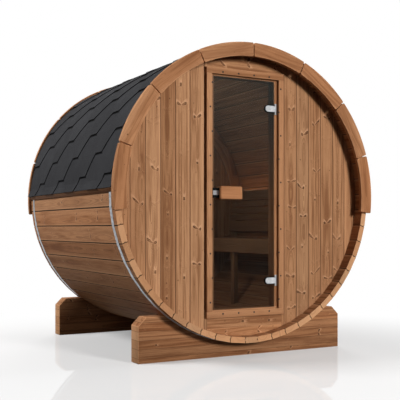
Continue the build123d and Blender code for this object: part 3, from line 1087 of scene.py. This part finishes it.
class ScrewTree(RepeatTree):
    """Puts a screw head on each point of a carrier, facing as the point does and turned at random."""

    NAME = "screw heads"
    SOCKETS = (("Head", "NodeSocketObject"), ("Seed", "NodeSocketInt"), ("Steel", "NodeSocketMaterial"))

    def repeats(self) -> Wire:
        """Lays out the screw heads.

        Returns:
            The heads as one mesh with their steel.
        """
        facing = self.wire("GeometryNodeInputNamedAttribute", 0, {"data_type": "FLOAT_VECTOR"},
                           {"Name": "facing"})
        upright = self.wire("FunctionNodeAlignRotationToVector", 0, {"axis": "Z"}, {"Vector": facing})
        turn = self.wire("FunctionNodeRandomValue", 1, {"data_type": "FLOAT"},
                         {2: 0.0, 3: math.tau, "Seed": self.given("Seed")})
        twist = self.wire("FunctionNodeAxisAngleToRotation", 0,
                          inputs={"Axis": (0.0, 0.0, 1.0), "Angle": turn})
        turned = self.wire("FunctionNodeRotateRotation", 0, {"rotation_space": "LOCAL"},
                           {0: upright, 1: twist})
        heads = self.laid(self.given("Geometry"), "Head", Rotation=turned)
        return self.dressed(self.realized(heads), "Steel")


@dataclass
class Screws(Assembly):
    """Dark screws that show in the door frame."""

    title = "screws"
    head_radius: float = 0.0066
    head_sides: int = 10
    jamb_count: int = 10
    jamb_pitch: float = 0.1646
    first_drop: float = 0.062
    zigzag: float = 0.008
    rail_count: int = 4
    rail_pitch: float = 0.125
    seed: int = 5

    def head(self) -> bpy.types.Object:
        """Turns a flat screw head with a recess.

        Returns:
            The head, as an object that is taken away after use.
        """
        shape = bmesh.new()
        size, sides = self.head_radius, self.head_sides
        profile = [(size, -0.0004), (size, 0.0004), (size * 0.88, 0.0008), (size * 0.44, 0.0008),
                   (size * 0.38, 0.0002)]
        turns = [math.tau * step / sides for step in range(sides)]
        rings = [[shape.verts.new((reach * math.cos(turn), reach * math.sin(turn), up)) for turn in turns]
                 for reach, up in profile]
        for low, high in zip(rings, rings[1:]):
            for step in range(sides):
                after = (step + 1) % sides
                shape.faces.new((low[step], low[after], high[after], high[step]))
        shape.faces.new(rings[-1])
        return linked("screw_head", meshed("screw_head", shape))

    def spots(self) -> list[Point]:
        """Lists where the screws sit, in a zigzag down the jambs and in a row on head and sill.

        Returns:
            The places on the front of the frame.
        """
        found = []
        for node in ("door_frame_left_jamb", "door_frame_right_jamb"):
            low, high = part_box(node)
            middle, first = (low[0] + high[0]) / 2.0, high[2] - self.first_drop
            found += [(middle + self.zigzag * (-1) ** number, low[1], first - number * self.jamb_pitch)
                      for number in range(self.jamb_count)]
        for node in ("door_frame_head", "door_frame_sill"):
            low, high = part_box(node)
            first, middle = (1 - self.rail_count) / 2.0 * self.rail_pitch, (low[2] + high[2]) / 2.0
            found += [(first + number * self.rail_pitch, low[1], middle) for number in range(self.rail_count)]
        return found

    def add_pieces(self) -> None:
        """Sets the screws, which all face the front."""
        spots = self.spots()
        carrier = bpy.data.meshes.new("screw_spots")
        carrier.from_pydata(spots, [], [])
        facing = carrier.attributes.new("facing", "FLOAT_VECTOR", "POINT")
        for value in facing.data:
            value.vector = (0.0, -1.0, 0.0)
        head = self.head()
        mesh = ScrewTree().run(carrier, {"Head": head, "Seed": self.seed, "Steel": SCREW_STEEL.material()})
        bpy.data.objects.remove(head)
        settle(linked("screws", mesh), "sauna", "hinge_steel")
        log.info("%s: %d set", self.title, len(spots))


class RoofTree(RepeatTree):
    """Lays shingle tabs in staggered courses and bends them round the barrel."""

    NAME = "shingle courses"
    SOCKETS = (("Tab", "NodeSocketObject"), ("Columns", "NodeSocketInt"), ("Rows", "NodeSocketInt"),
               ("Period", "NodeSocketFloat"), ("Pitch", "NodeSocketFloat"), ("Stagger", "NodeSocketFloat"),
               ("Start along", "NodeSocketFloat"), ("Start up", "NodeSocketFloat"),
               ("Radius", "NodeSocketFloat"), ("Eave angle", "NodeSocketFloat"),
               ("Kick", "NodeSocketFloat"), ("Kick angle", "NodeSocketFloat"),
               ("Side", "NodeSocketFloat"), ("Axis height", "NodeSocketFloat"),
               ("Seed", "NodeSocketInt"), ("Felt", "NodeSocketMaterial"))
    MERGE_DISTANCE = 0.0002

    def repeats(self) -> Wire:
        """Lays out the tabs.

        Returns:
            The felt as one mesh, whose points know their tab's tone.
        """
        tone = self.wire("FunctionNodeRandomValue", 1, {"data_type": "FLOAT"}, {"Seed": self.given("Seed")})
        tabs = self.wire("GeometryNodeStoreNamedAttribute", 0, {"data_type": "FLOAT", "domain": "INSTANCE"},
                         {"Geometry": self.laid(self.places(), "Tab"), "Name": "tab_tone", "Value": tone})
        merged = self.wire("GeometryNodeMergeByDistance", 0,
                           inputs={"Geometry": self.realized(tabs), "Distance": self.MERGE_DISTANCE})
        bent = self.wire("GeometryNodeSetPosition", 0, inputs={"Geometry": merged, "Position": self.bend()})
        return self.dressed(bent, "Felt")

    def places(self) -> Wire:
        """Lays out a point for each tab on the flat, along the barrel and up the slope.

        Returns:
            The points.
        """
        columns, rows = self.given("Columns"), self.given("Rows")
        period, pitch = self.given("Period"), self.given("Pitch")
        line = self.wire("GeometryNodeMeshLine", 0, {"mode": "OFFSET"},
                         {"Count": columns * rows, "Offset": (0.0, 0.0, 0.0)})
        index = self.wire("GeometryNodeInputIndex", 0)
        row = (index / columns).math("FLOOR")
        column = index - row * columns
        along = column * period + row.math("FLOORED_MODULO", 2.0) * self.given("Stagger")
        spot = self.join(along + self.given("Start along"), row * pitch + self.given("Start up"), 0.0)
        return self.wire("GeometryNodeSetPosition", 0, inputs={"Geometry": line, "Position": spot})

    def bend(self) -> Wire:
        """Works out where a point of the flat layer goes on the barrel.

        Returns:
            The place.
        """
        along, up, rise = self.split(self.wire("GeometryNodeInputPosition", 0))
        radius = self.given("Radius")
        angle = self.given("Eave angle") + up / radius
        kick_angle = self.given("Kick angle")
        share = (kick_angle - angle) / (kick_angle - self.given("Eave angle"))
        kick = share.math("MAXIMUM", 0.0).math("MINIMUM", 1.0) * self.given("Kick")
        out = radius + rise + kick
        x = out * angle.math("COSINE") * self.given("Side")
        z = out * angle.math("SINE") + self.given("Axis height")
        return self.join(x, along, z)


@dataclass
class Roof(Assembly):
    """Shingled top of the barrel, laid in courses of hexagonal tabs up to a capped ridge."""

    title = "roof"
    radius: float = 1.0085
    eave_height: float = 0.026
    kick: float = 0.0183
    kick_angle: float = math.radians(4.44)
    course_pitch: float = 0.150
    tab_period: float = 0.450
    tab_flat: float = 0.115
    notch_half_width: float = 0.060
    felt_thickness: float = 0.005
    air_gap: float = 0.0003
    least_lift: float = 0.0004
    top_height: float = 0.0145
    starter_drop: float = 0.007
    first_course: float = 0.095
    first_tab: float = -0.328
    spare_columns: int = 3
    cap_width: float = 0.250
    cap_pitch: float = 0.150
    cap_thickness: float = 0.003
    cap_steps: int = 6
    spare_caps: int = 2
    end_gap: float = 0.0015
    ridge_gap: float = 0.002
    bend_step: float = 0.0375
    cut_edge_facing: float = 0.6
    course_seed: int = 3
    eave_seed: int = 7
    starter_seed: int = 11
    ridge_seed: int = 15

    def __post_init__(self) -> None:
        """Works out where the felt starts and ends, and where its columns of tabs begin."""
        self.eave_angle = math.asin(self.eave_height / (self.radius + self.kick))
        self.slope_length = (math.pi / 2.0 - self.eave_angle) * self.radius
        self.front, self.back = (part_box("roof_upper_left")[end][1] for end in (0, 1))
        whole_periods = math.ceil((self.first_tab - self.front) / self.tab_period + 1.0)
        self.start_along = self.first_tab - whole_periods * self.tab_period
        self.columns = math.ceil((self.back - self.front) / self.tab_period) + self.spare_columns
        self.tree = RoofTree()

    def row(self, low: float, high: float, lower: list[float], upper: list[float]) -> list[list[Spot]]:
        """Lays out the fields of felt between two heights.

        Args:
            low: The lower height.
            high: The upper height.
            lower: Places across at the lower height.
            upper: Places across at the upper height.

        Returns:
            The four corners of each field, anticlockwise.
        """
        below, above = ([(round(across, 9), round(up, 9)) for across in places]
                        for up, places in ((low, lower), (high, upper)))
        return [[below[number], below[number + 1], above[number + 1], above[number]]
                for number in range(len(below) - 1)]

    def tab(self, flat: float, widening: float, start: float, head: float, cover: float) -> bpy.types.Object:
        """Makes one repeat of a course on the flat: a tab and the sheet above it.

        Args:
            flat: Width of the tab's lower edge.
            widening: How much wider a half tab is one course up.
            start: Where the tab begins, up from the lower edge of a whole one.
            head: Height of the felt's top at the lower edge of a whole tab.
            cover: Where the tab that hides the felt's head begins, up from the lower edge of a whole one.

        Returns:
            The repeat, as an object that is taken away after use.
        """
        pitch, half = self.course_pitch, self.tab_period / 2.0
        steps = round(pitch / self.bend_step)
        bends = [pitch * step / steps for step in range(steps + 1)]
        heights = [start] + [up for up in bends if up > start]
        fields = []
        for low, high in zip(heights, heights[1:]):
            lower, upper = (min(flat / 2.0 + widening * up / pitch, half) for up in (low, high))
            fields += self.row(low, high, [-lower, 0.0, lower], [-upper, 0.0, upper])
        shoulder = min(flat / 2.0 + widening, half)
        places = sorted({-half, -shoulder, 0.0, shoulder, half})
        for low, high in zip(bends, bends[1:]):
            fields += self.row(pitch + low, pitch + high, places, places)
        return self.thickened(fields, head, cover)

    def thickened(self, fields: list[list[Spot]], head: float, cover: float) -> bpy.types.Object:
        """Gives felt on the flat its thickness, with a cut edge wherever the felt doesn't go on.

        Args:
            fields: Corners across and up of each field of the felt.
            head: Height of the felt's top at the lower edge of a whole tab.
            cover: Where the tab that hides the felt's head begins.

        Returns:
            The felt as an object, open at both sides, where the next repeats join it.
        """
        pitch, half = self.course_pitch, self.tab_period / 2.0
        shape = bmesh.new()
        place = shape.verts.layers.float_vector.new("shape")
        corners = {}
        for spot in dict.fromkeys(spot for field in fields for spot in field):
            across, up = spot
            level = head - self.felt_thickness * up / pitch
            under = max(level - self.felt_thickness + self.air_gap, self.least_lift)
            for top, lift in ((True, level), (False, under)):
                corners[spot, top] = shape.verts.new((across, up, lift))
                # The shape layer counts the height up so that the covering tab begins two pitches up; the felt's
                # finish paints shadow below that tab by it.
                corners[spot, top][place] = (across, up + 2.0 * pitch - cover, 0.0)
        sides = [list(zip(field, field[1:] + field[:1])) for field in fields]
        uses = Counter(frozenset(side) for around in sides for side in around)
        for field, around in zip(fields, sides):
            shape.faces.new([corners[spot, True] for spot in field])
            shape.faces.new([corners[spot, False] for spot in reversed(field)])
            for first, second in around:
                joined = abs(first[0]) == abs(second[0]) == half
                if uses[frozenset((first, second))] == 1 and not joined:
                    shape.faces.new([corners[first, False], corners[second, False],
                                     corners[second, True], corners[first, True]])
        bmesh.ops.recalc_face_normals(shape, faces=shape.faces)
        return linked("tab", meshed("tab", shape))

    def cap(self) -> bpy.types.Object:
        """Makes one cap of the ridge on the flat, which laps over the next one along the barrel.

        Returns:
            The cap, as an object that is taken away after use.
        """
        length, thickness = 2.0 * self.cap_pitch, self.cap_thickness
        front, back = self.top_height + 2.0 * thickness, self.top_height
        outline = [(0.0, front - thickness), (length, back - thickness), (length, back), (0.0, front)]
        places = [(step / self.cap_steps - 0.5) * self.cap_width for step in range(self.cap_steps + 1)]
        return prisms("cap", [(outline, places)], FELT.material())

    def courses(self, tab: bpy.types.Object, side: int, settings: dict) -> bpy.types.Mesh:
        """Lays courses of one repeat.

        Args:
            tab: The repeat that is laid.
            side: 1 for the slope on the +X side, -1 for the other.
            settings: The tree's inputs that differ from those of one course on the eave.

        Returns:
            The courses as a mesh.
        """
        inputs = {
            "Tab": tab, "Columns": self.columns, "Rows": 1, "Period": self.tab_period,
            "Pitch": self.course_pitch, "Stagger": 0.0, "Start along": self.start_along, "Start up": 0.0,
            "Radius": self.radius, "Eave angle": self.eave_angle, "Kick": self.kick,
            "Kick angle": self.kick_angle, "Side": float(side), "Axis height": AXIS_HEIGHT,
            "Felt": FELT.material(),
        }
        return self.tree.run(bpy.data.meshes.new("carrier"), {**inputs, **settings})

    def trimmed(self, name: str, layers: list[bpy.types.Mesh], side: int) -> bpy.types.Object:
        """Joins layers of felt, cuts them off at the barrel's ends and the ridge, and closes the cuts.

        Args:
            name: Name of the piece.
            layers: The layers.
            side: 1 or -1 for a slope, 0 for the ridge.

        Returns:
            The finished piece.
        """
        shape = bmesh.new()
        for layer in layers:
            shape.from_mesh(layer)
        planes = [((0.0, self.front + self.end_gap, 0.0), (0.0, -1.0, 0.0)),
                  ((0.0, self.back - self.end_gap, 0.0), (0.0, 1.0, 0.0))]
        if side:
            planes.append(((self.ridge_gap * side, 0.0, 0.0), (-float(side), 0.0, 0.0)))
        for place, normal in planes:
            everything = shape.verts[:] + shape.edges[:] + shape.faces[:]
            bmesh.ops.bisect_plane(shape, geom=everything, plane_co=place, plane_no=normal, clear_outer=True)
            open_edges = [edge for edge in shape.edges if edge.is_boundary]
            bmesh.ops.holes_fill(shape, edges=open_edges)
        for face in shape.faces:
            face.material_index = 0
        bmesh.ops.recalc_face_normals(shape, faces=shape.faces)
        mesh = meshed(name, shape)
        self.mark_edges(mesh)
        mesh.materials.clear()
        mesh.materials.append(FELT.material())
        return linked(name, mesh)

    def mark_edges(self, mesh: bpy.types.Mesh) -> None:
        """Writes each corner's share of cut edge and its tab's tone for the felt's finish.

        Args:
            mesh: The felt.
        """
        tones = [value.value for value in mesh.attributes["tab_tone"].data]
        marks = mesh.attributes.new("tab", "FLOAT_VECTOR", "CORNER")
        for face in mesh.polygons:
            middle = face.center
            outward = Vector((middle.x, 0.0, middle.z - AXIS_HEIGHT)).normalized()
            edge = float(abs(face.normal.dot(outward)) < self.cut_edge_facing)
            for loop in face.loop_indices:
                marks.data[loop].vector = (edge, tones[mesh.loops[loop].vertex_index], 0.0)

    def add_pieces(self) -> None:
        """Lays both slopes and the ridge."""
        pitch, period = self.course_pitch, self.tab_period
        widening = period / 2.0 - self.tab_flat / 2.0 - self.notch_half_width
        tab = self.tab(self.tab_flat, widening, 0.0, self.top_height, 2.0 * pitch)
        cut_tab = self.tab(self.tab_flat, widening, pitch - self.first_course, self.top_height, 2.0 * pitch)
        starter = self.tab(period, 0.0, 0.0, self.top_height - self.starter_drop, self.first_course)
        rows = math.ceil((self.slope_length - self.first_course) / pitch)
        for side, word in ((-1, "left"), (1, "right")):
            whole = {"Rows": rows, "Stagger": period / 2.0, "Start up": self.first_course,
                     "Seed": self.course_seed + side}
            eave = {"Start along": self.start_along - period / 2.0, "Start up": self.first_course - pitch,
                    "Seed": self.eave_seed + side}
            under = {"Seed": self.starter_seed + side}
            layers = [self.courses(repeat, side, settings)
                      for repeat, settings in ((tab, whole), (cut_tab, eave), (starter, under))]
            shingles = self.trimmed(f"shingles_{word}", layers, side)
            settle(shingles, "sauna", "shingles", f"roof_upper_{word}", f"roof_lower_{word}")
        cap = self.cap()
        caps = math.ceil((self.back - self.front) / self.cap_pitch) + self.spare_caps
        ridge = self.courses(cap, 1, {
            "Columns": caps, "Period": self.cap_pitch, "Start along": self.front - self.cap_pitch,
            "Start up": self.slope_length, "Seed": self.ridge_seed})
        settle(self.trimmed("shingles_ridge", [ridge], 0), "sauna", "shingles")
        for used in (tab, cut_tab, starter, cap):
            bpy.data.objects.remove(used)


@dataclass(frozen=True)
class AreaLight:
    """Square soft light of the studio, which no reflection shows."""

    name: str
    place: Point
    target: Point
    size: float
    power: float
    colour: Point = (1.0, 1.0, 1.0)

    def hang(self) -> None:
        """Hangs the light in its place and turns it to its target."""
        data = bpy.data.lights.new(self.name, "AREA")
        data.size = self.size
        data.energy = self.power
        data.color = self.colour
        light = linked(self.name, data)
        light.location = self.place
        light.rotation_euler = (Vector(self.target) - Vector(self.place)).to_track_quat("-Z", "Y").to_euler()
        light.visible_glossy = False


@dataclass
class Studio:
    """Camera, floor and light of the photograph."""

    camera_place: Point = (-2.86464, -5.37191, 0.8737)
    camera_tilt: float = math.radians(90.0)
    camera_turn: float = math.radians(-28.714)
    camera_reach: float = 300.0
    sensor: float = 36.0
    lens: float = 70.27
    lens_rise: float = 0.0704
    lens_side: float = 0.0002
    floor_size: float = 120.0
    floor_bounce: Colour = (0.11, 0.11, 0.11, 1.0)
    floor_paint: Colour = (0.64, 0.64, 0.64, 1.0)
    floor_gloss: float = 0.15
    floor_gloss_roughness: float = 0.02
    floor_lift: float = 0.30
    floor_middle: Spot = (-0.5, -1.2)
    floor_plain_from: float = 1.5
    floor_white_from: float = 3.6
    ambient: float = 0.13
    lights: tuple[AreaLight, ...] = (
        AreaLight("front key", (1.8, -9.5, 3.4), (0.0, 0.0, 1.1), 2.0, 900.0),
        AreaLight("left key", (-6.8, 2.0, 7.0), (0.0, 0.0, 1.1), 3.0, 980.0),
        AreaLight("rear fill", (4.5, 9.0, 4.6), (0.0, 0.0, 1.1), 4.0, 560.0),
        AreaLight("right fill", (9.0, -1.0, 4.2), (0.0, 0.0, 1.1), 4.0, 460.0),
        AreaLight("cabin light", (-0.2, 0.0, 1.55), (0.2, 0.4, 2.1), 0.5, 1.5, (0.88, 1.0, 0.96)),
        AreaLight("bench light", (-0.45, -0.35, 1.20), (0.5, 0.2, 0.35), 0.3, 3.6, (0.98, 1.0, 0.92)),
    )

    def camera(self) -> None:
        """Sets the camera where the photograph was taken from."""
        data = bpy.data.cameras.new("camera")
        data.lens = self.lens
        data.sensor_width = self.sensor
        data.shift_x = self.lens_side
        data.shift_y = self.lens_rise
        data.clip_end = self.camera_reach
        camera = linked("camera", data)
        camera.location = self.camera_place
        camera.rotation_euler = (self.camera_tilt, 0.0, self.camera_turn)
        bpy.context.scene.camera = camera

    def seen_rays(self, sheet: Sheet) -> Wire:
        """Tells the rays that the camera follows, straight or in a mirror or glass, from the light's own.

        Args:
            sheet: The sheet of the floor or the world.

        Returns:
            1 for those rays and 0 for the others.
        """
        path = sheet.node("ShaderNodeLightPath")
        seen = Wire(sheet, path.outputs["Is Camera Ray"])
        for ray in ("Is Glossy Ray", "Is Transmission Ray"):
            seen = seen.math("MAXIMUM", Wire(sheet, path.outputs[ray]))
        return seen

    def world(self) -> None:
        """Lights the scene from all round, and shows plain white to the camera and in reflections."""
        world = bpy.data.worlds.new("studio white")
        bpy.context.scene.world = world
        world.use_nodes = True
        sheet = Sheet(world.node_tree)
        strength = self.seen_rays(sheet) * (1.0 - self.ambient) + self.ambient
        background = sheet.wire("ShaderNodeBackground", 0, inputs={"Color": WHITE, "Strength": strength})
        sheet.node("ShaderNodeOutputWorld", inputs={"Surface": background})

    def floor_material(self) -> bpy.types.Material:
        """Draws a pale floor, which mirrors the sauna faintly and turns plain white away from it.

        Returns:
            The material.
        """
        sheet = Surface("studio floor")
        seen = self.seen_rays(sheet)
        paint = sheet.mix(seen, self.floor_bounce, self.floor_paint)
        white = sheet.wire("ShaderNodeEmission", 0, inputs={"Color": WHITE, "Strength": seen})
        matt = sheet.wire("ShaderNodeBsdfDiffuse", 0, inputs={"Color": paint})
        matt = sheet.blend(self.floor_lift, matt, white)
        gloss = sheet.wire("ShaderNodeBsdfAnisotropic", 0,
                           inputs={"Color": WHITE, "Roughness": self.floor_gloss_roughness})
        polished = sheet.blend(seen * self.floor_gloss, matt, gloss)
        x, y, _ = sheet.split(sheet.place(1.0))
        reach = ((x - self.floor_middle[0]) ** 2.0 + (y - self.floor_middle[1]) ** 2.0).math("SQRT")
        away = sheet.ease(reach, self.floor_plain_from, self.floor_white_from)
        sheet.node("ShaderNodeOutputMaterial", inputs={"Surface": sheet.blend(away, polished, white)})
        return sheet.material

    def floor(self) -> None:
        """Lays the floor."""
        reach = self.floor_size / 2.0
        mesh = bpy.data.meshes.new("studio_floor")
        corners = [(-reach, -reach, 0.0), (reach, -reach, 0.0), (reach, reach, 0.0), (-reach, reach, 0.0)]
        mesh.from_pydata(corners, [], [(0, 1, 2, 3)])
        mesh.materials.append(self.floor_material())
        linked("studio_floor", mesh)

    def build(self) -> None:
        """Sets up the studio."""
        self.camera()
        self.world()
        self.floor()
        for light in self.lights:
            light.hang()
        bpy.context.scene.view_settings.view_transform = "Standard"
        log.info("studio: camera, floor and %d lights", len(self.lights))


def main() -> None:
    """Builds the studio and then the sauna's assemblies in order."""
    logging.basicConfig(level=logging.INFO, format="%(name)s: %(message)s")
    Studio().build()
    for part in (Barrel(), EndWalls(), Cradles(), Bench(), Doorway(), Screws(), Roof()):
        part.build()


if __name__ == "__main__":
    main()
